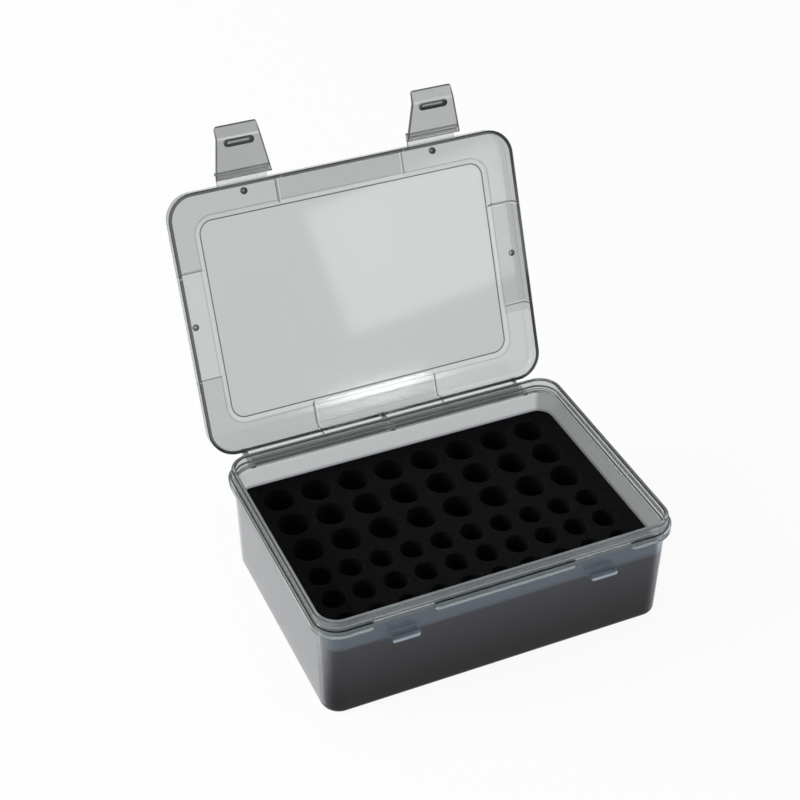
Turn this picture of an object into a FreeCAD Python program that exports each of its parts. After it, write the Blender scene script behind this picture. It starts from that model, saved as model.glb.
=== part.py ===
"""Hinged battery case: a tray, a lid on two rear hinges, two snap latches and a foam insert.

Millimetres, +Z up. The origin is the centre of the tray's flat underside, X runs along the hinge
and +Y points to the hinge side. The lid is drawn closed and then turned open about its hinge.
"""
import FreeCAD
import Part

import math
import os

from FreeCAD import Vector

# ---- driving dimensions -------------------------------------------------------------------

# tray
TRAY_TOP_Z = 58.0             # top of the lip that enters the lid
LIP_WIDTH = 172.8             # outside of the lip, along X
LIP_DEPTH = 123.6             # outside of the lip, along Y
LIP_CORNER_R = 11.0
LIP_WALL = 2.0
LIP_HEIGHT = 5.4              # lip top down to the flange top
LIP_STEP = 0.9                # the wall below the lip stands this much further in
LIP_OUTER_EDGE_R = 0.9
LIP_INNER_EDGE_R = 0.5
LEDGE_DROP = 4.8              # lip top down to the ledge on the inside
WALL = 2.0
WALL_DRAFT = 1.4              # the wall leans in by this much from flange to underside
FLOOR = 2.0
UNDERSIDE_EDGE_R = 3.0
FLANGE_REACH = 1.6            # how far the flange stands out of the lip
FLANGE_THICKNESS = 3.0

# lid
LID_GAP = 0.2                 # lid rim above the flange, and plate above the lip
LID_SIDE_GAP = 0.35           # inside of the skirt to the lip
SKIRT_WALL = 1.65
PLATE = 1.8
LID_EDGE_R = 2.8              # rounding round the outside of the plate
LID_INNER_EDGE_R = 1.1
PANEL_BORDER = 14.5           # skirt centre line to the edge of the raised panel
PANEL_RISE = 1.2
PANEL_BEVEL = 2.8
PANEL_CORNER_R = 6.5
BORDER_STEP = 0.8             # the middle of each border stands this much higher
BORDER_STEP_RUN = 1.2         # width of the slope that leads up to it
BORDER_STEP_HALF_X = 32.2
BORDER_STEP_HALF_Y = 26.0
DIMPLE_R = 1.5
DIMPLE_DEPTH = 1.0
DIMPLE_INSET = 4.2            # skirt centre line to the dimple

# rear hinge
OPEN_ANGLE = 112.0            # how far the lid leans back on its stop
HINGE_WIDTH = 147.0           # over the outer ears
HINGE_BEHIND_LID = 3.7        # axis behind the lid's rear face
HINGE_BELOW_RIM = 4.9         # axis below the lid's rim when closed
HINGE_BAR_R = 1.5
HINGE_FIT = 0.08              # radial clearance of the knuckle on the bar
KNUCKLE_R = 2.7
KNUCKLE_SIDE_GAP = 0.3
KNUCKLE_SLIT = 2.3
KNUCKLE_SLIT_ANGLE = 55.0     # slit's direction with the lid closed, from straight down to the rear
KNUCKLE_WEB = 2.4             # how far up the skirt the knuckle's web reaches
EAR_THICKNESS = 2.0
EAR_R = 2.4
STOP_GAP = 0.12               # open lid to the heel of the ears
STOP_REACH = 2.6              # length of the heel under the open lid, from its rim
EAR_ROOT_DROP = 3.0           # flange top down to the foot of the ears
EAR_HEEL = 1.8                # depth of the heel at its end

# latches, the rails they clip on, and the catches
LATCH_INSET = 37.8            # end of the lip to the middle of a latch
LATCH_OUT = 4.1               # latch axis in front of the lid's front face
LATCH_ABOVE_RIM = 2.7         # latch axis above the lid's rim when closed
RAIL_LENGTH = 24.7
RAIL_R = 1.2
RAIL_WEB = 1.1
RAIL_WEB_OFFSET = 0.1         # the web stands this much nearer the lid than the rail's axis
RAIL_ARM = 1.4
RAIL_EDGE_R = 0.9
CLIP_FIT = 0.06               # radial clearance of the clip on the rail
CLIP_WALL = 0.94
CLIP_INNER_END = 135.0        # clip's wall ends, in degrees from the plate's direction
CLIP_OUTER_END = 61.0
CLIP_ARM_GAP = 0.3
LATCH_THICKNESS = 1.6
LATCH_LEAN = 6.0              # the closed latch leans in by this much towards the tray
LATCH_BASE_WIDTH = 27.8
LATCH_BEND_WIDTH = 21.4
LATCH_TIP_WIDTH = 20.1
LATCH_BEND_AT = 17.4          # axis to the bend
LATCH_TIP_LENGTH = 6.1
LATCH_TIP_ANGLE = 24.0
LATCH_TIP_CORNER_R = 1.2
SLOT_AT = 15.1                # axis to the middle of the recess that takes the catch
SLOT_WIDTH = 14.6
SLOT_HEIGHT = 3.4
SLOT_SKIN = 0.5               # what is left of the plate behind the recess
SLOT_GAP = 0.4                # recess edge to the catch, above and below
SLOT_END_GAP = 0.6
SLOT_FLOOR_GAP = 0.3          # catch end to the recess floor
CATCH_EDGE_R = 0.35
CATCH_ROOT_FLARE = 1.1        # the root stands this much wider all round
CATCH_ROOT_LENGTH = 1.5
WINDOW_WIDTH = 28.4           # gap in the flange for each latch
WINDOW_CORNER_R = 2.0
LATCH_LEFT_OPEN = 91.5        # how far each latch is swung out from closed
LATCH_RIGHT_OPEN = 79.2

# foam insert
PAD_THICKNESS = 2.0
PAD_SIDE_GAP = 0.6
FOAM_TOP_Z = 40.0
FOAM_SIDE_GAP = 0.3
LAYER_GAP = 0.0
AA_POCKET_D = 14.9
AA_COLUMNS = 8
AA_ROWS = 3
AA_PITCH_X = 19.0
AA_PITCH_Y = 19.15
AA_BACK_ROW_Y = 44.2
AAA_POCKET_D = 11.4
AAA_COLUMNS = 10
AAA_ROWS = 3
AAA_PITCH_X = 15.2
AAA_PITCH_Y = 16.0
AAA_BACK_ROW_Y = -12.9

# ---- sizes that follow ---------------------------------------------------------------------

LIP_HALF = Vector(LIP_WIDTH / 2, LIP_DEPTH / 2, 0)
FLANGE_TOP_Z = TRAY_TOP_Z - LIP_HEIGHT
FLANGE_BOTTOM_Z = FLANGE_TOP_Z - FLANGE_THICKNESS
LEDGE_Z = TRAY_TOP_Z - LEDGE_DROP
RIM_Z = FLANGE_TOP_Z + LID_GAP
LID_INSIDE_GROWTH = LID_SIDE_GAP
LID_GROWTH = LID_SIDE_GAP + SKIRT_WALL
LID_FRONT_Y = -(LIP_DEPTH / 2 + LID_GROWTH)
LID_REAR_Y = -LID_FRONT_Y
PLATE_BOTTOM_Z = TRAY_TOP_Z + LID_GAP
PLATE_TOP_Z = PLATE_BOTTOM_Z + PLATE
HINGE_Y = LID_REAR_Y + HINGE_BEHIND_LID
HINGE_Z = RIM_Z - HINGE_BELOW_RIM
LATCH_X = LIP_HALF.x - LATCH_INSET
LATCH_Y = LID_FRONT_Y - LATCH_OUT
LATCH_Z = RIM_Z + LATCH_ABOVE_RIM
CLIP_R = RAIL_R + CLIP_FIT + CLIP_WALL
LATCH_MIDDLE = CLIP_R - LATCH_THICKNESS / 2               # plate's mid-plane from the axis
FOAM_BOTTOM_Z = FLOOR + PAD_THICKNESS + LAYER_GAP
X_AXIS = Vector(1, 0, 0)
SMALL = 0.01                  # overlap of faces that are joined
MARGIN = 1.0                  # how far a cutter stands out of what it cuts


# ---- shape helpers -------------------------------------------------------------------------

def rounded_wire(growth, z):
    """The lip's rounded rectangle, grown (or shrunk) sideways, at a height."""
    x = LIP_HALF.x + growth
    y = LIP_HALF.y + growth
    return rounded_rectangle(x, y, max(LIP_CORNER_R + growth, 1.0), z)


def rounded_rectangle(x, y, r, z):
    k = r * (1 - math.sqrt(0.5))
    corners = []
    for sx, sy in ((1, 1), (-1, 1), (-1, -1), (1, -1)):
        side = Vector(sx * x, sy * (y - r), z)
        middle = Vector(sx * (x - k), sy * (y - k), z)
        end = Vector(sx * (x - r), sy * y, z)
        if sx * sy < 0:
            side, end = end, side
        corners.append((side, middle, end))
    edges = []
    for i, (start, middle, end) in enumerate(corners):
        edges.append(Part.Arc(start, middle, end).toShape())
        edges.append(Part.LineSegment(end, corners[(i + 1) % 4][0]).toShape())
    return Part.Wire(edges)


def rounded_block(growth, z0, z1):
    return Part.Face(rounded_wire(growth, z0)).extrude(Vector(0, 0, z1 - z0))


def tapered_block(growth0, z0, growth1, z1):
    return Part.makeLoft([rounded_wire(growth0, z0), rounded_wire(growth1, z1)], True, True)


def wall_growth(z):
    """Growth of the tray wall's outside at a height, which leans in towards the underside."""
    return -LIP_STEP - WALL_DRAFT * (FLANGE_TOP_Z - z) / FLANGE_TOP_Z


def cylinder_x(r, x0, x1, y, z):
    return Part.makeCylinder(r, x1 - x0, Vector(x0, y, z), X_AXIS)


def prism_x(points, x0, x1):
    """A polygon of (y, z) points drawn out along X."""
    ring = [Vector(x0, y, z) for y, z in points]
    return Part.Face(Part.makePolygon(ring + ring[:1])).extrude(Vector(x1 - x0, 0, 0))


def stadium_y(half_length, r, x, z, y0, y1):
    """A slot shape with round ends, drawn out along Y."""
    straight = half_length - r
    body = Part.makeBox(2 * straight, y1 - y0, 2 * r, Vector(x - straight, y0, z - r))
    for side in (-1, 1):
        end = Part.makeCylinder(r, y1 - y0, Vector(x + side * straight, y0, z), Vector(0, 1, 0))
        body = body.fuse(end)
    return body.removeSplitter()


def stadium_wire(half_length, r, x, z, y):
    straight = half_length - r
    edges = []
    for side in (1, -1):
        cx = x + side * straight
        start = Vector(cx, y, z - side * r)
        end = Vector(cx, y, z + side * r)
        edges.append(Part.Arc(start, Vector(cx + side * r, y, z), end).toShape())
        edges.append(Part.LineSegment(end, Vector(x - side * straight, y, z + side * r)).toShape())
    return Part.Wire(edges)


def edges_at(shape, z, tolerance=0.02):
    """Edges that lie wholly at one height."""
    found = []
    for edge in shape.Edges:
        box = edge.BoundBox
        if abs(box.ZMin - z) < tolerance and abs(box.ZMax - z) < tolerance:
            found.append(edge)
    return found


def turned(shape, y, z, degrees):
    copy = shape.copy()
    copy.rotate(Vector(0, y, z), X_AXIS, degrees)
    return copy


def opened(shape):
    """From the closed lid to the open one."""
    return turned(shape, HINGE_Y, HINGE_Z, -OPEN_ANGLE)


# ---- tray ----------------------------------------------------------------------------------

def tray_shell():
    outside = tapered_block(wall_growth(0), 0, wall_growth(FLANGE_TOP_Z), FLANGE_TOP_Z)
    outside = outside.makeFillet(UNDERSIDE_EDGE_R, edges_at(outside, 0))
    flange = rounded_block(FLANGE_REACH, FLANGE_BOTTOM_Z, FLANGE_TOP_Z)
    for side in (-1, 1):
        flange = flange.cut(latch_window(side * LATCH_X))
    lip = rounded_block(0, FLANGE_TOP_Z - SMALL, TRAY_TOP_Z)
    lip = lip.makeFillet(LIP_OUTER_EDGE_R, edges_at(lip, TRAY_TOP_Z))
    solid = outside.fuse([flange, lip])
    inside = tapered_block(wall_growth(FLOOR) - WALL, FLOOR, wall_growth(LEDGE_Z) - WALL, LEDGE_Z)
    mouth = rounded_block(-LIP_WALL, LEDGE_Z - SMALL, TRAY_TOP_Z + MARGIN)
    solid = solid.cut(inside.fuse(mouth)).removeSplitter()
    rim = [e for e in edges_at(solid, TRAY_TOP_Z) if inside_lip(e)]
    return solid.makeFillet(LIP_INNER_EDGE_R, rim)


def inside_lip(edge):
    """True for the edges of the mouth, on the lip's inner face."""
    x = LIP_HALF.x - LIP_WALL + SMALL
    y = LIP_HALF.y - LIP_WALL + SMALL
    box = edge.BoundBox
    return max(abs(box.XMin), abs(box.XMax)) < x and max(abs(box.YMin), abs(box.YMax)) < y


def latch_window(x):
    """The gap in the front flange that a latch hangs in; its corners round off towards the wall."""
    half = WINDOW_WIDTH / 2
    r = WINDOW_CORNER_R
    wall_y = -(LIP_HALF.y + wall_growth(FLANGE_BOTTOM_Z))
    front_y = -(LIP_HALF.y + FLANGE_REACH)
    z0 = FLANGE_BOTTOM_Z - MARGIN
    height = FLANGE_THICKNESS + MARGIN
    gap = Part.makeBox(WINDOW_WIDTH, wall_y - front_y + MARGIN, height,
                       Vector(x - half, front_y - MARGIN, z0))
    for side in (-1, 1):
        corner = Part.makeBox(r, r, height, Vector(x + side * (half + r / 2) - r / 2, front_y, z0))
        round_end = Part.makeCylinder(r, height, Vector(x + side * (half + r), front_y + r, z0))
        gap = gap.fuse(corner.cut(round_end))
    return gap


def latch_point(out, along):
    """A point of the closed latch, from its distance outside the mid-plane and below the axis."""
    lean = math.radians(LATCH_LEAN)
    y = LATCH_MIDDLE - out
    return Vector(0, LATCH_Y + y * math.cos(lean) + along * math.sin(lean),
                  LATCH_Z + y * math.sin(lean) - along * math.cos(lean))


def catch(x):
    """The tab on the front wall that a latch's recess closes over, with a flared root."""
    z = latch_point(0, SLOT_AT).z
    wall_y = -(LIP_HALF.y + wall_growth(z))
    end_y = latch_point(LATCH_THICKNESS / 2 - SLOT_SKIN, SLOT_AT).y + SLOT_FLOOR_GAP
    r = SLOT_HEIGHT / 2 - SLOT_GAP
    half = SLOT_WIDTH / 2 - SLOT_END_GAP
    tab = stadium_y(half, r, x, z, end_y, wall_y + WALL / 2)
    front = [e for e in tab.Edges if e.BoundBox.YMax < end_y + SMALL]
    tab = tab.makeFillet(CATCH_EDGE_R, front)
    flare = CATCH_ROOT_FLARE * (1 + WALL / 2 / CATCH_ROOT_LENGTH)
    wide = stadium_wire(half + flare, r + flare, x, z, wall_y + WALL / 2)
    slim = stadium_wire(half, r, x, z, wall_y - CATCH_ROOT_LENGTH)
    return tab.fuse(Part.makeLoft([wide, slim], True, True))


def hinge_ear(x0, thickness):
    """One ear of the rear hinge: it holds the bar, and its heel stops the open lid."""
    turn = math.radians(-OPEN_ANGLE)
    across = Vector(0, -math.cos(turn), -math.sin(turn))      # from the axis to the open lid's rear face
    along = Vector(0, -math.sin(turn), math.cos(turn))        # along that face, away from the rim
    axis = Vector(0, HINGE_Y, HINGE_Z)
    stop = axis + across * (HINGE_BEHIND_LID - STOP_GAP) + along * HINGE_BELOW_RIM
    heel = stop + along * STOP_REACH
    wall_y = LIP_HALF.y + wall_growth(FLANGE_BOTTOM_Z) - WALL / 2
    foot_z = FLANGE_TOP_Z - EAR_ROOT_DROP
    flange_y = LIP_HALF.y + FLANGE_REACH - SMALL
    profile = [(wall_y, foot_z), (heel.y, heel.z - EAR_HEEL), (heel.y, heel.z), (stop.y, stop.z),
               (axis.y, axis.z), (flange_y, FLANGE_TOP_Z - SMALL), (wall_y, FLANGE_TOP_Z - SMALL)]
    ear = prism_x(profile, x0, x0 + thickness)
    return ear.fuse(cylinder_x(EAR_R, x0, x0 + thickness, HINGE_Y, HINGE_Z))


def tray_hinge():
    """Three ears with a round bar through them."""
    outer = HINGE_WIDTH / 2
    ears = [hinge_ear(-outer, EAR_THICKNESS), hinge_ear(outer - EAR_THICKNESS, EAR_THICKNESS),
            hinge_ear(-EAR_THICKNESS / 2, EAR_THICKNESS)]
    bar = cylinder_x(HINGE_BAR_R, EAR_THICKNESS / 2 - outer, outer - EAR_THICKNESS / 2, HINGE_Y, HINGE_Z)
    return bar.fuse(ears)


def make_tray():
    extras = [tray_hinge()]
    for side in (-1, 1):
        extras.append(catch(side * LATCH_X))
    return tray_shell().fuse(extras).removeSplitter()


# ---- lid, drawn closed ----------------------------------------------------------------------

def border_bumps(growth, z):
    """The raised middles of the four border strips, as bands across the whole lid."""
    low = z - PLATE / 2
    top = z + BORDER_STEP
    run = BORDER_STEP_RUN * (top - low) / BORDER_STEP
    bands = []
    for half, along_x in ((BORDER_STEP_HALF_X, False), (BORDER_STEP_HALF_Y, True)):
        foot = half - BORDER_STEP_RUN / 2 + run
        crest = half - BORDER_STEP_RUN / 2
        section = [(-foot, low), (foot, low), (crest, top), (-crest, top)]
        band = prism_x(section, -LIP_WIDTH, LIP_WIDTH)
        if not along_x:
            band.rotate(Vector(0, 0, 0), Vector(0, 0, 1), 90)
        bands.append(band)
    return rounded_block(growth, low, top).common(bands[0].fuse(bands[1]))


def panel_block(growth, z0, z1):
    """A bevelled block for the raised middle panel: wide below, narrower above."""
    centre_line = LID_GROWTH - SKIRT_WALL / 2
    x = LIP_HALF.x + centre_line - PANEL_BORDER + growth
    y = LIP_HALF.y + centre_line - PANEL_BORDER + growth
    foot = rounded_rectangle(x + PANEL_BEVEL, y + PANEL_BEVEL, PANEL_CORNER_R + PANEL_BEVEL, z0)
    top = rounded_rectangle(x, y, PANEL_CORNER_R, z1)
    return Part.makeLoft([foot, top], True, True)


def lid_shell():
    outside = rounded_block(LID_GROWTH, RIM_Z, PLATE_TOP_Z)
    outside = outside.makeFillet(LID_EDGE_R, edges_at(outside, PLATE_TOP_Z))
    bumps = border_bumps(LID_GROWTH - LID_EDGE_R, PLATE_TOP_Z)
    panel = panel_block(0, PLATE_TOP_Z, PLATE_TOP_Z + PANEL_RISE)
    inside = rounded_block(LID_INSIDE_GROWTH, RIM_Z - MARGIN, PLATE_BOTTOM_Z)
    inside = inside.makeFillet(LID_INNER_EDGE_R, edges_at(inside, PLATE_BOTTOM_Z))
    bumps_inside = border_bumps(LID_INSIDE_GROWTH - LID_INNER_EDGE_R, PLATE_BOTTOM_Z)
    panel_inside = panel_block(0, PLATE_BOTTOM_Z, PLATE_BOTTOM_Z + PANEL_RISE)
    solid = outside.fuse([bumps, panel])
    return solid.cut(inside.fuse([bumps_inside, panel_inside]))


def dimples():
    """Four small round sinks in the underside of the border."""
    centre_line = LID_GROWTH - SKIRT_WALL / 2
    x = LIP_HALF.x + centre_line - DIMPLE_INSET
    y = LIP_HALF.y + centre_line - DIMPLE_INSET
    places = [(-LATCH_X, -y, 0), (LATCH_X, -y, 0), (-x, 0, BORDER_STEP), (x, 0, BORDER_STEP)]
    holes = []
    for px, py, rise in places:
        start = Vector(px, py, PLATE_BOTTOM_Z + rise - MARGIN)
        holes.append(Part.makeCylinder(DIMPLE_R, DIMPLE_DEPTH + MARGIN, start))
    return holes


def latch_rail(x):
    """The hooked rail on the lid's front that a latch clips on: an arm, a web and a round bar."""
    x0 = x - RAIL_LENGTH / 2
    arm_z = LATCH_Z + CLIP_R + CLIP_ARM_GAP
    top_z = arm_z + RAIL_ARM
    outer_y = LATCH_Y + RAIL_WEB_OFFSET - RAIL_WEB / 2
    root_y = LID_FRONT_Y + SKIRT_WALL * 0.8
    arm = Part.makeBox(RAIL_LENGTH, root_y - outer_y, RAIL_ARM, Vector(x0, outer_y, arm_z))
    web = Part.makeBox(RAIL_LENGTH, RAIL_WEB, top_z - LATCH_Z, Vector(x0, outer_y, LATCH_Z))
    hook = arm.fuse(web).removeSplitter()
    corner = [e for e in edges_at(hook, top_z) if e.BoundBox.YMax < outer_y + SMALL]
    hook = hook.makeFillet(RAIL_EDGE_R, corner)
    return hook.fuse(cylinder_x(RAIL_R, x0, x0 + RAIL_LENGTH, LATCH_Y, LATCH_Z))


def lid_knuckle(x0, x1):
    """A long slit knuckle that hangs from the back of the lid and snaps over the tray's bar."""
    barrel = cylinder_x(KNUCKLE_R, x0, x1, HINGE_Y, HINGE_Z)
    skirt_y = LID_REAR_Y - SKIRT_WALL / 2
    reach = KNUCKLE_R * math.sqrt(0.5)
    web_top_z = RIM_Z + KNUCKLE_WEB
    section = [(skirt_y, RIM_Z), (LID_REAR_Y, RIM_Z), (HINGE_Y - reach, HINGE_Z),
               (HINGE_Y + reach, HINGE_Z), (HINGE_Y + reach, HINGE_Z + reach),
               (LID_REAR_Y, web_top_z), (skirt_y, web_top_z)]
    web = prism_x(section, x0, x1)
    bore = cylinder_x(HINGE_BAR_R + HINGE_FIT, x0 - MARGIN, x1 + MARGIN, HINGE_Y, HINGE_Z)
    slit = Part.makeBox(x1 - x0 + 2 * MARGIN, KNUCKLE_SLIT, 2 * KNUCKLE_R,
                        Vector(x0 - MARGIN, HINGE_Y - KNUCKLE_SLIT / 2, HINGE_Z - 2 * KNUCKLE_R))
    slit = turned(slit, HINGE_Y, HINGE_Z, KNUCKLE_SLIT_ANGLE)
    return barrel.fuse(web).cut(bore).cut(slit).removeSplitter()


def make_lid():
    solid = lid_shell()
    for hole in dimples():
        solid = solid.cut(hole)
    inner = EAR_THICKNESS / 2 + KNUCKLE_SIDE_GAP
    outer = HINGE_WIDTH / 2 - EAR_THICKNESS - KNUCKLE_SIDE_GAP
    extras = [lid_knuckle(inner, outer), lid_knuckle(-outer, -inner)]
    for side in (-1, 1):
        extras.append(latch_rail(side * LATCH_X))
    return opened(solid.fuse(extras).removeSplitter())


# ---- latches, drawn closed and upright -------------------------------------------------------

def latch_outline():
    """The latch seen from the front, as a prism that trims the folded plate."""
    top_z = LATCH_Z + CLIP_R + SMALL
    bend_z = LATCH_Z - LATCH_BEND_AT
    tip_z = bend_z - LATCH_TIP_LENGTH - LATCH_THICKNESS
    right = [(LATCH_TIP_WIDTH / 2, tip_z), (LATCH_BEND_WIDTH / 2, bend_z), (LATCH_BASE_WIDTH / 2, top_z)]
    points = right + [(-px, pz) for px, pz in reversed(right)]
    ring = [Vector(px, LATCH_Y - LIP_DEPTH, pz) for px, pz in points]
    return Part.Face(Part.makePolygon(ring + ring[:1])).extrude(Vector(0, 2 * LIP_DEPTH, 0))


def clip_ring(half):
    """The clip's open ring: the wall runs from its outer end, past the plate, to its inner end."""
    ring = cylinder_x(CLIP_R, -half, half, LATCH_Y, LATCH_Z)
    ring = ring.cut(cylinder_x(RAIL_R + CLIP_FIT, -half - MARGIN, half + MARGIN, LATCH_Y, LATCH_Z))
    mouth = [(LATCH_Y, LATCH_Z)]
    steps = 3
    for i in range(steps + 1):
        degrees = CLIP_INNER_END + (360 - CLIP_OUTER_END - CLIP_INNER_END) * i / steps
        a = math.radians(degrees)
        mouth.append((LATCH_Y + 4 * CLIP_R * math.sin(a), LATCH_Z - 4 * CLIP_R * math.cos(a)))
    return ring.cut(prism_x(mouth, -half - MARGIN, half + MARGIN))


def latch_plate(half):
    """The flat of the latch and its flared tip."""
    t = LATCH_THICKNESS / 2
    a = math.radians(LATCH_TIP_ANGLE)
    out = Vector(0, -math.sin(a), -math.cos(a))               # along the flared tip
    side = Vector(0, -math.cos(a), math.sin(a))               # its outward face
    fold = t * math.tan(a / 2)
    tip = Vector(0, LATCH_MIDDLE, -LATCH_BEND_AT) + out * LATCH_TIP_LENGTH
    outer_tip = tip + side * t
    inner_tip = tip - side * t
    start = -math.sqrt((CLIP_R - CLIP_WALL / 2) ** 2 - (LATCH_MIDDLE - t) ** 2)
    profile = [(LATCH_MIDDLE - t, start), (LATCH_MIDDLE - t, fold - LATCH_BEND_AT),
               (outer_tip.y, outer_tip.z), (inner_tip.y, inner_tip.z),
               (LATCH_MIDDLE + t, -fold - LATCH_BEND_AT), (LATCH_MIDDLE + t, 0), (CLIP_R - CLIP_WALL / 2, 0)]
    placed = [(LATCH_Y + y, LATCH_Z + z) for y, z in profile]
    plate = prism_x(placed, -half, half)
    return plate.cut(cylinder_x(RAIL_R + CLIP_FIT, -half - MARGIN, half + MARGIN, LATCH_Y, LATCH_Z))


def make_latch(x, open_angle):
    half = LATCH_BASE_WIDTH / 2
    body = clip_ring(half).fuse(latch_plate(half)).removeSplitter()
    body = body.common(latch_outline())
    outer_face_y = LATCH_Y + LATCH_MIDDLE - LATCH_THICKNESS / 2
    slot = stadium_y(SLOT_WIDTH / 2, SLOT_HEIGHT / 2, 0, LATCH_Z - SLOT_AT,
                     outer_face_y + SLOT_SKIN, outer_face_y + LATCH_THICKNESS + MARGIN)
    solid = body.cut(slot).removeSplitter()
    tip_low = LATCH_Z - LATCH_BEND_AT - LATCH_TIP_LENGTH / 2
    corners = [e for e in solid.Edges if is_tip_corner(e, tip_low)]
    solid = solid.makeFillet(LATCH_TIP_CORNER_R, corners)
    solid.translate(Vector(x, 0, 0))
    return opened(turned(solid, LATCH_Y, LATCH_Z, LATCH_LEAN - open_angle))


def is_tip_corner(edge, z_limit):
    """True for the two short edges through the plate at the tip's corners."""
    if len(edge.Vertexes) != 2 or edge.BoundBox.ZMax > z_limit:
        return False
    return abs(edge.Length - LATCH_THICKNESS) < 0.1 and edge.BoundBox.XLength < 0.1


# ---- foam insert -----------------------------------------------------------------------------

def pocket_places():
    """(x, y, diameter) of every cell pocket: wide ones in the back rows, slim ones in front."""
    places = []
    for row in range(AA_ROWS):
        for column in range(AA_COLUMNS):
            x = (column - (AA_COLUMNS - 1) / 2) * AA_PITCH_X
            places.append((x, AA_BACK_ROW_Y - row * AA_PITCH_Y, AA_POCKET_D))
    for row in range(AAA_ROWS):
        for column in range(AAA_COLUMNS):
            x = (column - (AAA_COLUMNS - 1) / 2) * AAA_PITCH_X
            places.append((x, AAA_BACK_ROW_Y - row * AAA_PITCH_Y, AAA_POCKET_D))
    return places


def make_foam_block():
    """The pocketed block; every pocket goes right through to the pad."""
    low = wall_growth(FOAM_BOTTOM_Z) - WALL - FOAM_SIDE_GAP
    high = wall_growth(FOAM_TOP_Z) - WALL - FOAM_SIDE_GAP
    block = tapered_block(low, FOAM_BOTTOM_Z, high, FOAM_TOP_Z)
    height = FOAM_TOP_Z - FOAM_BOTTOM_Z + 2 * MARGIN
    pockets = []
    for x, y, diameter in pocket_places():
        pockets.append(Part.makeCylinder(diameter / 2, height, Vector(x, y, FOAM_BOTTOM_Z - MARGIN)))
    return block.cut(Part.makeCompound(pockets))


def make_foam_pad():
    growth = wall_growth(FLOOR) - WALL - PAD_SIDE_GAP
    return rounded_block(growth, FLOOR, FLOOR + PAD_THICKNESS)


# ---- build -----------------------------------------------------------------------------------

PARTS = {
    "tray": make_tray,
    "lid": make_lid,
    "latch_left": lambda: make_latch(-LATCH_X, LATCH_LEFT_OPEN),
    "latch_right": lambda: make_latch(LATCH_X, LATCH_RIGHT_OPEN),
    "foam_block": make_foam_block,
    "foam_pad": make_foam_pad,
}

os.makedirs("parts", exist_ok=True)
for name, make in PARTS.items():
    shape = make()
    solids = shape.Solids
    if len(solids) == 1:
        shape = solids[0]
    print(name, "solids", len(solids), "valid", shape.isValid(), "volume", round(shape.Volume, 1),
          "box", [round(v, 2) for v in (shape.BoundBox.XMin, shape.BoundBox.YMin, shape.BoundBox.ZMin,
                                        shape.BoundBox.XMax, shape.BoundBox.YMax, shape.BoundBox.ZMax)])
    shape.exportStep("parts/" + name + ".step")

# where the joints turn, in the part's frame with the lid open
latch_axis = opened(Part.Vertex(0, LATCH_Y, LATCH_Z)).Point
print("lid hinge axis", round(HINGE_Y, 3), round(HINGE_Z, 3))
print("latch axis, lid open", round(latch_axis.y, 3), round(latch_axis.z, 3))
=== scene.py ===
import math

import bmesh
import bpy
from mathutils import Matrix, Quaternion, Vector


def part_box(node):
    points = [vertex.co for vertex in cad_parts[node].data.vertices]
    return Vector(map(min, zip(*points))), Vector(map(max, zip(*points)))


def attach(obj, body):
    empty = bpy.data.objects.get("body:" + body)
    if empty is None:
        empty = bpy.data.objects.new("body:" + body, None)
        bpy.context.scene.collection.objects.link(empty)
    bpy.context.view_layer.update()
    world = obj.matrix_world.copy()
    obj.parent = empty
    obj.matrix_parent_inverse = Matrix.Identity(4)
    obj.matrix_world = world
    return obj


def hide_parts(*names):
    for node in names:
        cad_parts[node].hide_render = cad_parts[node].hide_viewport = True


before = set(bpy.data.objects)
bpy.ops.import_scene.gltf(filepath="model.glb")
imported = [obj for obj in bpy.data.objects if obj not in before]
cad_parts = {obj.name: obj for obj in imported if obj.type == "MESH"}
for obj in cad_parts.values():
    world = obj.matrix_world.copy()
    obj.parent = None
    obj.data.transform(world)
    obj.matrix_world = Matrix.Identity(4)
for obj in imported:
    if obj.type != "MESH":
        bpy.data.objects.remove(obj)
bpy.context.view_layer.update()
print("frame loaded:", ", ".join(sorted(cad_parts)))

mm = 0.001

# heights of the tray and the foam
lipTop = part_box("tray")[1].z
ledgeTop = lipTop - 4.8 * mm
flangeTop = lipTop - 5.4 * mm
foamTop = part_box("foam_block")[1].z

# the lid's axis, as y and z, and how many degrees the lid leans back from closed
lidTurn = (67.5 * mm, 47.9 * mm, 112.0)


# helpers for shader trees

def emptyTree(name):
    material = bpy.data.materials.new(name)
    material.use_nodes = True
    tree = material.node_tree
    tree.nodes.clear()
    output = tree.nodes.new("ShaderNodeOutputMaterial")
    return material, tree, output


def addNode(tree, kind, values=None, **settings):
    # settings are properties of the node, values go into its inputs
    node = tree.nodes.new(kind)
    for key, value in settings.items():
        setattr(node, key, value)
    for key, value in (values or {}).items():
        node.inputs[key].default_value = value
    return node


def fillInputs(tree, node, values):
    # each value is a plain number or vector, or the output of another node
    for index, value in enumerate(values):
        if isinstance(value, bpy.types.NodeSocket):
            tree.links.new(value, node.inputs[index])
        elif value is not None:
            node.inputs[index].default_value = value


def mathNode(tree, operation, first, second=None, clamp=False):
    node = addNode(tree, "ShaderNodeMath", operation=operation, use_clamp=clamp)
    fillInputs(tree, node, (first, second))
    return node.outputs[0]


def vectorNode(tree, operation, first, second=None):
    node = addNode(tree, "ShaderNodeVectorMath", operation=operation)
    fillInputs(tree, node, (first, second))
    return node.outputs["Value"] if operation in ("LENGTH", "DISTANCE") else node.outputs["Vector"]


def rangeNode(tree, value, fromMin, fromMax, toMin=0.0, toMax=1.0, smooth=True):
    node = addNode(tree, "ShaderNodeMapRange",
                   {"From Min": fromMin, "From Max": fromMax, "To Min": toMin, "To Max": toMax})
    node.interpolation_type = "SMOOTHSTEP" if smooth else "LINEAR"
    tree.links.new(value, node.inputs["Value"])
    return node.outputs["Result"]


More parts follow.
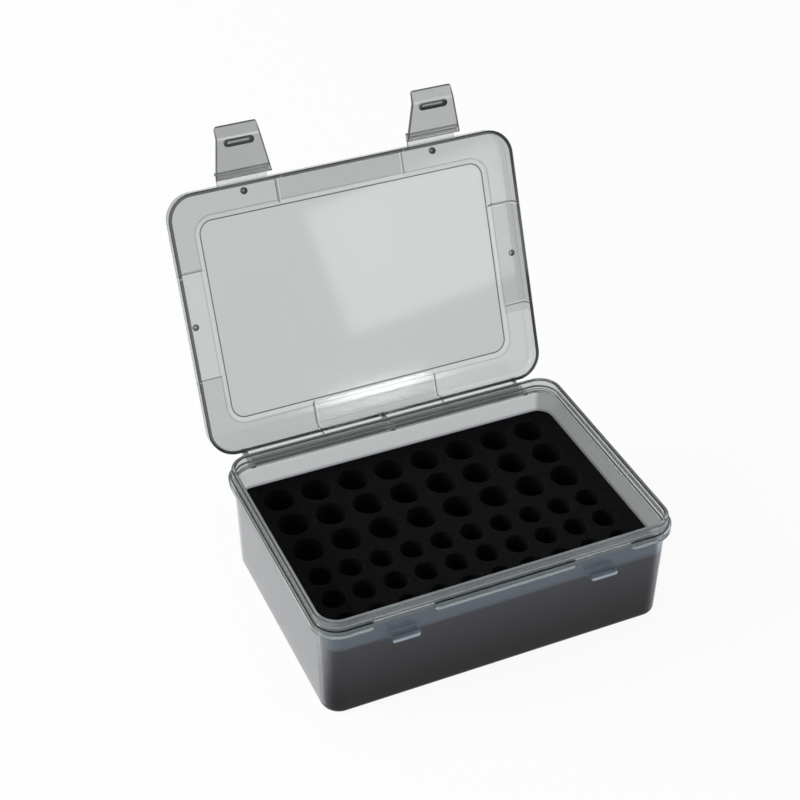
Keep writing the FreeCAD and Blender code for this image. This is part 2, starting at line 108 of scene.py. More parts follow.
def axesOf(tree, point):
    node = addNode(tree, "ShaderNodeSeparateXYZ")
    tree.links.new(point, node.inputs["Vector"])
    return node.outputs["X"], node.outputs["Y"], node.outputs["Z"]


def flatPoint(tree, x, y):
    node = addNode(tree, "ShaderNodeCombineXYZ")
    tree.links.new(x, node.inputs["X"])
    tree.links.new(y, node.inputs["Y"])
    return node.outputs["Vector"]


# masks are one where an effect is full and nothing where it is absent

def fadeIn(tree, value, low, high):
    return rangeNode(tree, value, low, high)


def fadeOut(tree, value, low, high):
    return rangeNode(tree, value, low, high, 1.0, 0.0)


def together(tree, *masks):
    total = masks[0]
    for mask in masks[1:]:
        total = mathNode(tree, "MULTIPLY", total, mask)
    return total


def strongest(tree, *masks):
    total = masks[0]
    for mask in masks[1:]:
        total = mathNode(tree, "MAXIMUM", total, mask)
    return total


def without(tree, mask):
    return fadeOut(tree, mask, 0.0, 1.0)


def between(tree, value, low, high, soft):
    return together(tree, fadeIn(tree, value, low - soft, low + soft),
                    fadeOut(tree, value, high - soft, high + soft))


def lineMask(tree, value, place, halfWidth, soft):
    # a line where the value equals place, fading to nothing beside it
    away = mathNode(tree, "ABSOLUTE", mathNode(tree, "SUBTRACT", value, place))
    return fadeOut(tree, away, halfWidth, halfWidth + soft)


def turnedBack(tree, point, axisY, axisZ, degrees):
    # undoes a turn about an axis along X, so that a turned piece is measured as it was drawn
    turn = Matrix.Rotation(math.radians(degrees), 3, "X")
    axis = Vector((0, axisY, axisZ))
    mapping = addNode(tree, "ShaderNodeMapping", {"Rotation": (math.radians(degrees), 0, 0),
                                                  "Location": axis - turn @ axis})
    tree.links.new(point, mapping.inputs["Vector"])
    return mapping.outputs["Vector"]


def colourMix(tree, mask, first, second):
    # first and second are colours or the colour outputs of other nodes
    node = addNode(tree, "ShaderNodeMix", data_type="RGBA")
    tree.links.new(mask, node.inputs["Factor"])
    colours = [socket for socket in node.inputs if socket.type == "RGBA"]
    for socket, value in zip(colours, (first, second)):
        if isinstance(value, tuple):
            socket.default_value = value
        else:
            tree.links.new(value, socket)
    return [socket for socket in node.outputs if socket.type == "RGBA"][0]


def noiseNode(tree, coords, scale, detail=2.0, roughness=0.5, distortion=0.0, stretch=None):
    if stretch is not None:
        mapping = addNode(tree, "ShaderNodeMapping", {"Scale": stretch})
        tree.links.new(coords, mapping.inputs["Vector"])
        coords = mapping.outputs["Vector"]
    node = addNode(tree, "ShaderNodeTexNoise", {"Scale": scale, "Detail": detail,
                                                "Roughness": roughness, "Distortion": distortion})
    tree.links.new(coords, node.inputs["Vector"])
    return node.outputs["Fac"]


def newGroup(name, inputs, outputs, points=()):
    group = bpy.data.node_groups.new(name, "ShaderNodeTree")
    for socketName in points:
        group.interface.new_socket(socketName, in_out="INPUT", socket_type="NodeSocketVector")
    for socketName, value in inputs.items():
        socket = group.interface.new_socket(socketName, in_out="INPUT", socket_type="NodeSocketFloat")
        socket.default_value = value
    for socketName in outputs:
        group.interface.new_socket(socketName, in_out="OUTPUT", socket_type="NodeSocketFloat")
    groupIn = group.nodes.new("NodeGroupInput")
    groupOut = group.nodes.new("NodeGroupOutput")
    return group, groupIn.outputs, groupOut.inputs


def placeGroup(tree, group, values):
    node = addNode(tree, "ShaderNodeGroup", node_tree=group)
    for key, value in values.items():
        node.inputs[key].default_value = value
    return node


# moulded skin: haze patches, orange peel and hair scratches of a handled plastic part

skinGrain = {
    "inputs": {"Base Roughness": 0.2, "Haze Spread": 0.06, "Peel": 0.5, "Scratches": 0.5},
    "cloud": {"scale": 22.0, "detail": 3.0, "roughness": 0.55},
    "cloudMiddle": 0.5,
    "hazeGain": 2.0,
    "peel": {"scale": 260.0, "detail": 1.0},
    "patch": {"scale": 36.0},      # scratches come in patches
    "patchEdge": (0.45, 0.65),
    "streak": {"scale": 1.0, "distortion": 0.6},
    "streakStretches": ((30.0, 1500.0, 900.0), (1300.0, 40.0, 60.0), (700.0, 500.0, 24.0)),
    "streakEdge": (0.70, 0.76),
    "scratchRoughness": 0.12,
}


def buildMouldedSkin(grain):
    group, inlet, outlet = newGroup("mouldedSkin", grain["inputs"], ("Roughness", "Height", "Cloud"))
    coords = addNode(group, "ShaderNodeTexCoord").outputs["Object"]
    link = group.links.new

    cloud = noiseNode(group, coords, **grain["cloud"])
    peel = noiseNode(group, coords, **grain["peel"])
    lines = []
    for stretch in grain["streakStretches"]:
        streak = noiseNode(group, coords, stretch=stretch, **grain["streak"])
        lines.append(fadeIn(group, streak, *grain["streakEdge"]))
    patchy = fadeIn(group, noiseNode(group, coords, **grain["patch"]), *grain["patchEdge"])
    scratches = together(group, strongest(group, *lines), patchy, inlet["Scratches"])

    centred = mathNode(group, "SUBTRACT", cloud, grain["cloudMiddle"])
    haze = together(group, centred, inlet["Haze Spread"], grain["hazeGain"])
    wornOrFaded = together(group, scratches, grain["scratchRoughness"])
    rough = mathNode(group, "ADD", inlet["Base Roughness"], haze)
    rough = mathNode(group, "ADD", rough, wornOrFaded, clamp=True)
    height = mathNode(group, "SUBTRACT", together(group, peel, inlet["Peel"]), scratches)
    link(rough, outlet["Roughness"])
    link(height, outlet["Height"])
    link(cloud, outlet["Cloud"])
    return group


# closed-cell foam: small cells with thin walls, and slow waves of the cut surface

foamGrain = {
    "inputs": {"Cell Scale": 1100.0, "Wave": 0.6},
    "cellEdge": (0.05, 0.62),
    "wave": {"scale": 90.0},
}


def buildFoamCells(grain):
    group, inlet, outlet = newGroup("foamCells", grain["inputs"], ("Cells", "Height"))
    coords = addNode(group, "ShaderNodeTexCoord").outputs["Object"]
    cell = addNode(group, "ShaderNodeTexVoronoi", feature="F1")
    group.links.new(coords, cell.inputs["Vector"])
    group.links.new(inlet["Cell Scale"], cell.inputs["Scale"])
    cells = fadeIn(group, cell.outputs["Distance"], *grain["cellEdge"])
    wave = noiseNode(group, coords, **grain["wave"])
    height = mathNode(group, "ADD", cells, together(group, wave, inlet["Wave"]))
    group.links.new(cells, outlet["Cells"])
    group.links.new(height, outlet["Height"])
    return group


# how far a point lies outside a rounded rectangle, seen from above

def buildRoundedFrame():
    inputs = {"Half Across": 0.07, "Half Along": 0.05, "Corner": 0.01}
    group, inlet, outlet = newGroup("roundedFrame", inputs, ("Distance",), ["Point"])
    x, y, _ = axesOf(group, vectorNode(group, "ABSOLUTE", inlet["Point"]))
    straightX = mathNode(group, "SUBTRACT", inlet["Half Across"], inlet["Corner"])
    straightY = mathNode(group, "SUBTRACT", inlet["Half Along"], inlet["Corner"])
    pastX = mathNode(group, "SUBTRACT", x, straightX)
    pastY = mathNode(group, "SUBTRACT", y, straightY)
    outside = flatPoint(group, mathNode(group, "MAXIMUM", pastX, 0.0),
                        mathNode(group, "MAXIMUM", pastY, 0.0))
    inside = mathNode(group, "MINIMUM", mathNode(group, "MAXIMUM", pastX, pastY), 0.0)
    total = mathNode(group, "ADD", vectorNode(group, "LENGTH", outside), inside)
    group.links.new(mathNode(group, "SUBTRACT", total, inlet["Corner"]), outlet["Distance"])
    return group


mouldedSkin = buildMouldedSkin(skinGrain)
roundedFrame = buildRoundedFrame()
foamCells = buildFoamCells(foamGrain)


def frameDistance(tree, point, halfAcross, halfAlong, corner):
    node = placeGroup(tree, roundedFrame, {"Half Across": halfAcross, "Half Along": halfAlong,
                                           "Corner": corner})
    tree.links.new(point, node.inputs["Point"])
    return node.outputs["Distance"]


# smoke-grey polypropylene, seen through; masks lay painted light and shade over its tint, such as dark
# edge lines and lighter or darker bands

def makeSmokePlastic(name, look, paintedLightMasks):
    # paintedLightMasks gives pairs: a mask with a painted light or shade colour that is laid over the
    # tint, or with a roughness
    material, tree, output = emptyTree(name)
    skin = placeGroup(tree, mouldedSkin, look["skin"])
    point = addNode(tree, "ShaderNodeTexCoord").outputs["Object"]
    colour = colourMix(tree, skin.outputs["Cloud"], look["tint"], look["cloudTint"])
    roughness = skin.outputs["Roughness"]
    for mask, value in paintedLightMasks(tree, point, look):
        if isinstance(value, float):
            roughness = strongest(tree, roughness, together(tree, mask, value))
        else:
            colour = colourMix(tree, mask, colour, value)
    bump = addNode(tree, "ShaderNodeBump", {"Strength": look["bumpStrength"],
                                            "Distance": look["bumpDepth"]})
    shader = addNode(tree, "ShaderNodeBsdfPrincipled",
                     {"Metallic": 0.0, "IOR": look["refraction"], "Transmission Weight": look["clear"],
                      "Specular IOR Level": look["specularLevel"]})
    volume = addNode(tree, "ShaderNodeVolumeAbsorption",
                     {"Color": look["absorption"], "Density": look["density"]})
    link = tree.links.new
    link(colour, shader.inputs["Base Color"])
    link(roughness, shader.inputs["Roughness"])
    link(skin.outputs["Height"], bump.inputs["Height"])
    link(bump.outputs["Normal"], shader.inputs["Normal"])
    link(shader.outputs["BSDF"], output.inputs["Surface"])
    link(volume.outputs["Volume"], output.inputs["Volume"])
    return material


trayPlastic = {
    "tint": (0.80, 0.81, 0.805, 1.0),
    "cloudTint": (0.78, 0.79, 0.785, 1.0),
    "refraction": 1.32,
    "specularLevel": 0.3,
    "clear": 0.86,                 # the rest of the light scatters in the milky plastic
    "absorption": (0.30, 0.33, 0.34, 1.0),
    "density": 130.0,
    "skin": {"Base Roughness": 0.12, "Haze Spread": 0.03, "Peel": 0.2, "Scratches": 0.05},
    "bumpStrength": 0.5,
    "bumpDepth": 0.003 * mm,
    "lip": {"halfAcross": 86.4 * mm, "halfAlong": 61.8 * mm, "corner": 11.0 * mm},
    # painted light and painted shade, laid over the tint
    "frontBandPaintedLight": (0.95, 1.0, 1.0, 1.0),             # painted light: flange and lip at the front, lighter
    # painted shade: the lip and flange band at the back, darker
    "backBandPaintedShade": (0.86, 0.90, 0.89, 1.0),
    # painted shade under the front flange's nose
    "flangeFootPaintedShade": (0.30, 0.345, 0.36, 1.0),
    "frontPaintedLight": (0.66, 0.76, 0.88, 1.0),          # painted light: bluish glow on the front wall above the foam's top
    "foamPaintedShade": (0.30, 0.305, 0.36, 1.0),          # painted shade on the walls that the foam lies against
    "lowFrontPaintedShade": (0.02, 0.02, 0.03, 1.0),          # painted shade, the same, darkest low down at the front
    "leftPaintedLight": (0.78, 0.78, 0.80, 1.0),           # painted light on the end that stands to the light
    "rightPaintedShade": (0.27, 0.28, 0.27, 1.0),          # painted shade inside the end turned from the light
    "hingePaintedShade": (0.80, 0.82, 0.82, 1.0),          # painted shade on the ears and bar behind the lip
    # painted shade: dark lines along the edges, and a painted contact shadow at the foot
    "edgePaintedShade": (0.03, 0.035, 0.035, 1.0),
    # heights between which the shades fade
    "bandFoot": (flangeTop - 3.2 * mm, flangeTop - 2.8 * mm),
    "flangeFoot": (flangeTop - 1.8 * mm, flangeTop - 0.8 * mm),
    "flangeFace": (flangeTop - 0.35 * mm, flangeTop - 0.1 * mm),
    "ledgeFace": (ledgeTop - 0.4 * mm, ledgeTop - 0.1 * mm),
    "lipFace": (lipTop - 1.0 * mm, lipTop - 0.6 * mm),
    "foamLine": (foamTop - 1.2 * mm, foamTop + 0.8 * mm),
    "foamDepth": (8.0 * mm, foamTop - 2.0 * mm),
    "rightTop": (51.0 * mm, 52.0 * mm),
    # height of the painted contact shadow along the foot
    "base": (0.3 * mm, 1.0 * mm),
    # places along Y and X between which they fade
    "frontEnd": (-58.0 * mm, -56.0 * mm),
    "deepFront": (-60.0 * mm, -46.0 * mm),
    "frontLineFade": (-60.0 * mm, -52.0 * mm),
    "backEnd": (56.0 * mm, 58.0 * mm),
    "hingeFrom": (63.5 * mm, 63.8 * mm),
    "leftEnd": (-84.0 * mm, -80.0 * mm),
    "rightEnd": (76.0 * mm, 79.0 * mm),
    # distances from the lip's outside
    "outerWall": (-5.6 * mm, -4.9 * mm),
    "innerWall": (-2.4 * mm, -1.8 * mm),
    "flangeNose": (0.3 * mm, 0.9 * mm),
    "flangeOver": (0.6 * mm, 1.0 * mm),
    "flangeReach": 1.6 * mm,
    "flangeRoot": 0.1 * mm,
    "flangeRootHalf": 0.52 * mm,
    "lipOuter": -0.3 * mm,
    "lipInner": -2.0 * mm,
    "ledgeInner": -2.9 * mm,
    # painted shade: dark edge lines
    "flangeUnder": flangeTop - 3.0 * mm,
    "edgeHalf": 0.26 * mm,
    "edgeSoft": 0.12 * mm,
    "frontLineShare": 0.3,              # what is left of the edge lines at the front
}


def trayMasks(tree, point, look):
    lip, half, soft = look["lip"], look["edgeHalf"], look["edgeSoft"]
    distance = frameDistance(tree, point, lip["halfAcross"], lip["halfAlong"], lip["corner"])
    x, y, z = axesOf(tree, point)

    onWall = fadeIn(tree, distance, *look["outerWall"])
    front = together(tree, fadeOut(tree, y, *look["frontEnd"]), onWall)
    back = together(tree, fadeIn(tree, y, *look["backEnd"]), onWall)
    band = fadeIn(tree, z, *look["bandFoot"])
    below = fadeOut(tree, z, *look["foamLine"])
    # painted light on the flange and lip at the front, painted shade on them at the back
    yield together(tree, band, front), look["frontBandPaintedLight"]
    yield together(tree, band, back), look["backBandPaintedShade"]
    # painted shade under the front flange's nose
    nose = fadeIn(tree, distance, *look["flangeNose"])
    foot = fadeOut(tree, z, *look["flangeFoot"])
    yield together(tree, foot, nose, front, band), look["flangeFootPaintedShade"]
    # painted light: a bluish glow on the front wall
    yield together(tree, without(tree, band), front), look["frontPaintedLight"]
    # painted shade on the hinge behind the lip
    yield fadeIn(tree, y, *look["hingeFrom"]), look["hingePaintedShade"]
    # painted shade where the foam lies against the walls
    yield together(tree, below, onWall), look["foamPaintedShade"]
    # painted shade inside the end turned from the light
    right = together(tree, fadeIn(tree, x, *look["rightEnd"]), fadeOut(tree, z, *look["rightTop"]))
    yield together(tree, right, fadeOut(tree, distance, *look["innerWall"])), look["rightPaintedShade"]
    # painted light on the end that stands to the light
    yield together(tree, fadeOut(tree, x, *look["leftEnd"]), below), look["leftPaintedLight"]
    # painted shade, darker towards the bottom of the front wall
    deep = rangeNode(tree, z, *look["foamDepth"], 1.0, 0.0, smooth=False)
    deep = together(tree, deep, fadeOut(tree, y, *look["deepFront"]))
    yield together(tree, deep, below, onWall), look["lowFrontPaintedShade"]

    # the painted edge lines fade towards the front
    wornOrFaded = rangeNode(tree, y, *look["frontLineFade"], look["frontLineShare"], 1.0)
    lipFace = fadeIn(tree, z, *look["lipFace"])
    flangeEdge = together(tree, lineMask(tree, distance, look["flangeReach"], half, soft), wornOrFaded,
                          fadeIn(tree, z, *look["flangeFace"]))
    flangeRoot = together(tree, lineMask(tree, distance, look["flangeRoot"], look["flangeRootHalf"], soft),
                          lineMask(tree, z, flangeTop, half, soft))
    flangeUnder = together(tree, lineMask(tree, z, look["flangeUnder"], half, soft),
                           fadeIn(tree, distance, *look["flangeOver"]), wornOrFaded)
    lipInner = together(tree, lineMask(tree, distance, look["lipInner"], half, soft), lipFace)
    lipOuter = together(tree, lineMask(tree, distance, look["lipOuter"], half, soft), lipFace, wornOrFaded)
    ledgeEdge = together(tree, lineMask(tree, distance, look["ledgeInner"], half, soft),
                         fadeIn(tree, z, *look["ledgeFace"]))
    # painted contact shadow: a dark line along the foot
    base = fadeOut(tree, z, *look["base"])
    # painted shade: dark lines along the lip, ledge and flange edges
    yield strongest(tree, flangeEdge, flangeRoot, flangeUnder, lipInner, lipOuter, ledgeEdge,
                    base), look["edgePaintedShade"]


lidPlastic = {
    "tint": (0.675, 0.695, 0.685, 1.0),
    "cloudTint": (0.66, 0.68, 0.67, 1.0),
    "refraction": 1.49,
    "specularLevel": 0.5,
    "clear": 0.95,
    "absorption": (0.30, 0.33, 0.32, 1.0),
    "density": 140.0,
    "skin": {"Base Roughness": 0.045, "Haze Spread": 0.02, "Peel": 0.0, "Scratches": 0.0},
    "bumpStrength": 0.5,
    "bumpDepth": 0.003 * mm,
    # the lid is measured as it lies closed
    "panel": {"halfAcross": 73.1 * mm, "halfAlong": 48.5 * mm, "corner": 6.5 * mm, "bevel": 2.8 * mm},
    "skirt": {"halfAcross": 88.4 * mm, "halfAlong": 63.8 * mm, "corner": 13.0 * mm},
    "stepAcross": 32.2 * mm,
    "stepAlong": 26.0 * mm,
    "dimples": ((48.6 * mm, -58.8 * mm, 0), (83.4 * mm, 0, 0)),     # and the same on the left
    "dimpleRing": 1.0 * mm,
    # painted light and shade
    # painted shade: the border darker than the panel
    "borderPaintedShade": (0.565, 0.59, 0.575, 1.0),
    "paintedHighlight": (0.93, 0.94, 0.94, 1.0),          # painted highlight on the bevel, steps and outside of the skirt
    "rimPaintedShade": (0.07, 0.08, 0.08, 1.0),            # painted shade on the lower rim of the skirt
    "hingePaintedShade": (0.85, 0.87, 0.87, 1.0),          # painted shade on the knuckles behind the skirt
    # painted shade: dark lines at the panel's edge, bevel, steps and dimples
    "edgePaintedShade": (0.02, 0.025, 0.025, 1.0),
    "strips": (                                     # parts of the border with painted reflections: x and y in mm, and the painted tone
        ((-32.2, 32.2), (-64.0, -49.5), (0.45, 0.475, 0.47, 1.0)),
        ((-88.0, -73.0), (-26.0, 26.0), (0.74, 0.77, 0.765, 1.0)),
        ((73.0, 88.0), (-26.0, 26.0), (0.47, 0.49, 0.48, 1.0)),
        ((32.2, 88.0), (30.0, 64.0), (0.74, 0.765, 0.755, 1.0)),
    ),
    "stripSoft": 0.1 * mm,
    "satinRoughness": 0.12,                         # border beside the hinge
    # heights between which the shades fade
    "underside": (59.7 * mm, 59.9 * mm),            # the lid's inner faces lie below this
    "sinkFloor": (60.4 * mm, 60.6 * mm),            # the floors of its dimples below this
    "rim": (53.0 * mm, 53.4 * mm),
    # places along Y between which they fade
    "satinFrom": (49.5 * mm, 50.5 * mm),
    "rearFrom": (60.0 * mm, 61.0 * mm),
    "hingeFrom": (63.9 * mm, 64.2 * mm),
    # distances from the skirt's outside and from the panel's edge
    "skirtFace": (-0.5 * mm, -0.2 * mm),
    "borderFrom": (2.2 * mm, 2.6 * mm),
    # lines: place, half width and fade
    "rearLine": (-0.3 * mm, 0.25 * mm, 0.15 * mm),
    "bevelLine": (1.2 * mm, 0.5 * mm, 0.8 * mm),
    "stepLight": (0.7 * mm, 0.3 * mm),              # how far inside each step, and fade
    "dimpleHalf": 0.5 * mm,
    "dimpleSoft": 0.35 * mm,
    "edgeHalf": 0.2 * mm,
    "edgeSoft": 0.2 * mm,
    "strength": {"skirt": 0.75, "light": 0.6, "bevel": 0.35, "steps": 0.8},
}


def lidMasks(tree, point, look):
    panel, skirt, strength = look["panel"], look["skirt"], look["strength"]
    half, soft = look["edgeHalf"], look["edgeSoft"]
    closed = turnedBack(tree, point, *lidTurn)
    x, y, z = axesOf(tree, closed)
    across = mathNode(tree, "ABSOLUTE", x)
    along = mathNode(tree, "ABSOLUTE", y)
    distance = frameDistance(tree, closed, panel["halfAcross"], panel["halfAlong"], panel["corner"])
    fromSkirt = frameDistance(tree, closed, skirt["halfAcross"], skirt["halfAlong"], skirt["corner"])

    facing = fadeOut(tree, z, *look["underside"])
    border = fadeIn(tree, distance, 0.0, panel["bevel"])
    # painted shade: the border darker than the panel
    yield together(tree, border, facing), look["borderPaintedShade"]
    # painted reflections: lighter or darker tones on parts of the border
    for rangeX, rangeY, shade in look["strips"]:
        lowX, highX = (value * mm for value in rangeX)
        lowY, highY = (value * mm for value in rangeY)
        yield together(tree, border, facing, between(tree, x, lowX, highX, look["stripSoft"]),
                       between(tree, y, lowY, highY, look["stripSoft"])), shade
    yield together(tree, fadeIn(tree, y, *look["satinFrom"]), border, facing), look["satinRoughness"]
    # painted highlight on the outside of the skirt
    skirtFace = fadeIn(tree, fromSkirt, *look["skirtFace"])
    yield together(tree, skirtFace, strength["skirt"]), look["paintedHighlight"]
    # painted shade on the skirt's lower rim; at the rear only along a thin line
    atRear = lineMask(tree, fromSkirt, *look["rearLine"])
    elsewhere = fadeOut(tree, y, *look["rearFrom"])
    rim = together(tree, fadeOut(tree, z, *look["rim"]), strongest(tree, elsewhere, atRear))
    yield rim, look["rimPaintedShade"]
    # painted shade on the knuckles behind the skirt
    yield fadeIn(tree, y, *look["hingeFrom"]), look["hingePaintedShade"]

    # painted highlight lines at the bevel and just inside the steps
    inward, stepSoft = look["stepLight"]
    highlightLines = [lineMask(tree, distance, *look["bevelLine"])]
    steps = []
    for value, place in ((across, look["stepAcross"]), (along, look["stepAlong"])):
        highlightLines.append(together(tree, lineMask(tree, value, place - inward, half, stepSoft), border))
        steps.append(lineMask(tree, value, place, half, soft))
    yield together(tree, strongest(tree, *highlightLines), facing, strength["light"]), look["paintedHighlight"]

    # painted shade: dark lines at the panel's edge, the bevel's edge and the steps
    panelEdge = lineMask(tree, distance, 0.0, half, soft)
    bevelEdge = together(tree, lineMask(tree, distance, panel["bevel"], half, soft), strength["bevel"])
    stepEdges = together(tree, strongest(tree, *steps), fadeIn(tree, distance, *look["borderFrom"]),
                         strength["steps"])
    yield together(tree, strongest(tree, panelEdge, bevelEdge, stepEdges), facing), look["edgePaintedShade"]
    # painted shade: dark rings round the dimples
    rings = []
    for centre in look["dimples"]:
        away = vectorNode(tree, "DISTANCE", flatPoint(tree, across, y), centre)
        rings.append(lineMask(tree, away, look["dimpleRing"], look["dimpleHalf"], look["dimpleSoft"]))
    sinks = fadeOut(tree, z, *look["sinkFloor"])
    yield together(tree, strongest(tree, *rings), sinks), look["edgePaintedShade"]


latchPlastic = {
    "tint": (0.60, 0.62, 0.61, 1.0),
    "cloudTint": (0.58, 0.60, 0.59, 1.0),
    "refraction": 1.49,
    "specularLevel": 0.5,
    "clear": 0.85,
    "absorption": (0.30, 0.33, 0.32, 1.0),
    "density": 130.0,
    "skin": {"Base Roughness": 0.13, "Haze Spread": 0.02, "Peel": 0.2, "Scratches": 0.05},
    "bumpStrength": 0.5,
    "bumpDepth": 0.003 * mm,
    # a latch is measured as it hangs from the closed lid, its heights from its own axis
    "latchAxis": (-67.9 * mm, 55.5 * mm),
    "bend": {"below": 17.4 * mm, "halfWidth": 10.7 * mm, "baseHalfWidth": 13.9 * mm, "above": 2.2 * mm},
    "tipBelow": 22.7 * mm,
    "recess": {"below": 15.1 * mm, "halfWidth": 7.3 * mm, "halfHeight": 1.7 * mm},
    # painted highlight, painted shade and their lines
    # painted highlight along the bend
    "foldHighlight": (0.95, 0.96, 0.96, 1.0),
    "foldHalf": 0.25 * mm,
    "foldSoft": 0.3 * mm,
    "foldStrength": 0.7,
    # painted shade: dark lines along the latch's sides and tip
    "edgePaintedShade": (0.04, 0.045, 0.045, 1.0),
    "edgeHalf": 0.3 * mm,
    "edgeSoft": 0.25 * mm,
    # painted shade inside the recess
    "recessPaintedShade": (0.015, 0.018, 0.018, 1.0),
    "recessEdge": (-0.1 * mm, 0.3 * mm),
    "stripHighlight": (0.35, 0.36, 0.36, 1.0),          # painted highlight along the recess's floor
    "stripLine": (-1.45 * mm, 0.15 * mm, 0.2 * mm),     # place, half width and fade
    "stripEnd": (5.0 * mm, 5.6 * mm),
}


def latchMasks(swing, centreX):
    def masks(tree, point, look):
        bend, recess = look["bend"], look["recess"]
        closed = turnedBack(tree, point, *lidTurn)
        x, _, z = axesOf(tree, turnedBack(tree, closed, *look["latchAxis"], swing))
        across = mathNode(tree, "ABSOLUTE", mathNode(tree, "SUBTRACT", x, centreX))
        height = mathNode(tree, "SUBTRACT", z, look["latchAxis"][1])

        # painted highlight along the bend
        fold = lineMask(tree, height, -bend["below"], look["foldHalf"], look["foldSoft"])
        yield together(tree, fold, look["foldStrength"]), look["foldHighlight"]
        # painted shade: dark lines along the sides and tip
        width = rangeNode(tree, height, -bend["below"], bend["above"], bend["halfWidth"],
                          bend["baseHalfWidth"], smooth=False)
        sideEdge = lineMask(tree, across, width, look["edgeHalf"], look["edgeSoft"])
        tipEdge = fadeOut(tree, height, -look["tipBelow"], -look["tipBelow"] + look["edgeSoft"])
        yield strongest(tree, sideEdge, tipEdge), look["edgePaintedShade"]
        # painted shade inside the recess
        inRecess = flatPoint(tree, across, mathNode(tree, "ADD", height, recess["below"]))
        slot = frameDistance(tree, inRecess, recess["halfWidth"], recess["halfHeight"],
                             recess["halfHeight"])
        yield fadeOut(tree, slot, *look["recessEdge"]), look["recessPaintedShade"]
        # painted highlight along the recess's floor
        strip = lineMask(tree, slot, *look["stripLine"])
        yield together(tree, strip, fadeOut(tree, across, *look["stripEnd"])), look["stripHighlight"]
    return masks


# black cut foam

blackFoam = {
    "cellColour": (0.0015, 0.0015, 0.0018, 1.0),
    "wallColour": (0.0045, 0.0045, 0.005, 1.0),
    "cells": {"Cell Scale": 1100.0, "Wave": 0.6},
    "bumpStrength": 0.7,
    "bumpDepth": 0.22 * mm,
    "roughness": 0.95,
    "specularLevel": 0.06,
    "sheen": 0.01,
}


def makeBlackFoam(name, look):
    material, tree, output = emptyTree(name)
    cells = placeGroup(tree, foamCells, look["cells"])
    colour = colourMix(tree, cells.outputs["Cells"], look["cellColour"], look["wallColour"])
    bump = addNode(tree, "ShaderNodeBump", {"Strength": look["bumpStrength"],
                                            "Distance": look["bumpDepth"]})
    shader = addNode(tree, "ShaderNodeBsdfPrincipled",
                     {"Roughness": look["roughness"], "Specular IOR Level": look["specularLevel"],
                      "Sheen Weight": look["sheen"]})
    link = tree.links.new
    link(colour, shader.inputs["Base Color"])
    link(cells.outputs["Height"], bump.inputs["Height"])
    link(bump.outputs["Normal"], shader.inputs["Normal"])
    link(shader.outputs["BSDF"], output.inputs["Surface"])
    return material


foamMaterial = makeBlackFoam("blackFoamCut", blackFoam)

latches = {
    "centreX": 48.6 * mm,
    "leftSwing": 85.5,             # degrees from hanging straight down to the angle at rest
    "rightSwing": 73.2,
    # painted shade: the left latch gets a darker copy of the latch plastic
    "leftShadedTint": (0.51, 0.53, 0.52, 1.0),
    "leftShadedCloudTint": (0.49, 0.51, 0.50, 1.0),
}
# painted shade: a darker copy of the latch plastic for the left latch
leftLatchShadedPlastic = dict(latchPlastic, tint=latches["leftShadedTint"], cloudTint=latches["leftShadedCloudTint"])
leftMasks = latchMasks(latches["leftSwing"], -latches["centreX"])
rightMasks = latchMasks(latches["rightSwing"], latches["centreX"])
plastics = {
    "tray": makeSmokePlastic("smokeTray", trayPlastic, trayMasks),
    "lid": makeSmokePlastic("smokeLid", lidPlastic, lidMasks),
    "latch_left": makeSmokePlastic("smokeLatchLeftShaded", leftLatchShadedPlastic, leftMasks),
    "latch_right": makeSmokePlastic("smokeLatchRight", latchPlastic, rightMasks),
}
for nodeName, material in plastics.items():
    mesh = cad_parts[nodeName].data
    mesh.materials.clear()
    mesh.materials.append(material)
print("plastic finish set")


# foam insert: a block with round pockets, and the pad under it

foamInsert = {
    "sideLean": 1.4 / 52.6,        # the block's sides follow the tray's draft
    "cornerRadius": 7.6 * mm,
    "cornerSteps": 8,
    "rimRound": 0.5 * mm,
    "rimSteps": 3,
    "pocketSides": 40,
    "flatNormal": 0.999,           # faces that look straight up or down stay flat shaded
    "wide": {"columns": 8, "rows": 3, "pitchX": 19.0 * mm, "pitchY": 19.15 * mm,
             "backRow": 44.2 * mm, "diameter": 14.9 * mm},
    "slim": {"columns": 10, "rows": 3, "pitchX": 15.2 * mm, "pitchY": 16.0 * mm,
             "backRow": -12.9 * mm, "diameter": 11.4 * mm},
}


def pocketCentres(kind):
    centres = []
    for row in range(kind["rows"]):
        for column in range(kind["columns"]):
            x = (column - (kind["columns"] - 1) / 2) * kind["pitchX"]
            centres.append((x, kind["backRow"] - row * kind["pitchY"]))
    return centres


def roundedOutline(halfX, halfY, radius, cornerSteps):
    points = []
    for quarter, (signX, signY) in enumerate(((1, 1), (-1, 1), (-1, -1), (1, -1))):
        for step in range(cornerSteps + 1):
            angle = math.radians(90 * quarter + 90 * step / cornerSteps)
            points.append((signX * (halfX - radius) + radius * math.cos(angle),
                           signY * (halfY - radius) + radius * math.sin(angle)))
    return points


def circleOutline(centre, radius, sides):
    points = []
    for step in range(sides):
        angle = 2 * math.pi * step / sides
        points.append((centre[0] + radius * math.cos(angle), centre[1] + radius * math.sin(angle)))
    return points


def roundedLevels(lowZ, highZ, rim, steps):
    # heights from the bottom up, each with how far the rounded edge has drawn back there
    lower, upper = [], []
    for step in range(steps + 1):
        angle = math.pi / 2 * step / steps
        down, back = rim * (1 - math.sin(angle)), rim * (1 - math.cos(angle))
        lower.insert(0, (lowZ + down, back))
        upper.append((highZ - down, back))
    return lower + upper


def addRing(mesh, outline, z):
    return [mesh.verts.new((x, y, z)) for x, y in outline]


def joinRings(mesh, lower, upper, inward):
    count = len(lower)
    for index in range(count):
        after = (index + 1) % count
        corners = [lower[index], lower[after], upper[after], upper[index]]
        mesh.faces.new(corners[::-1] if inward else corners)


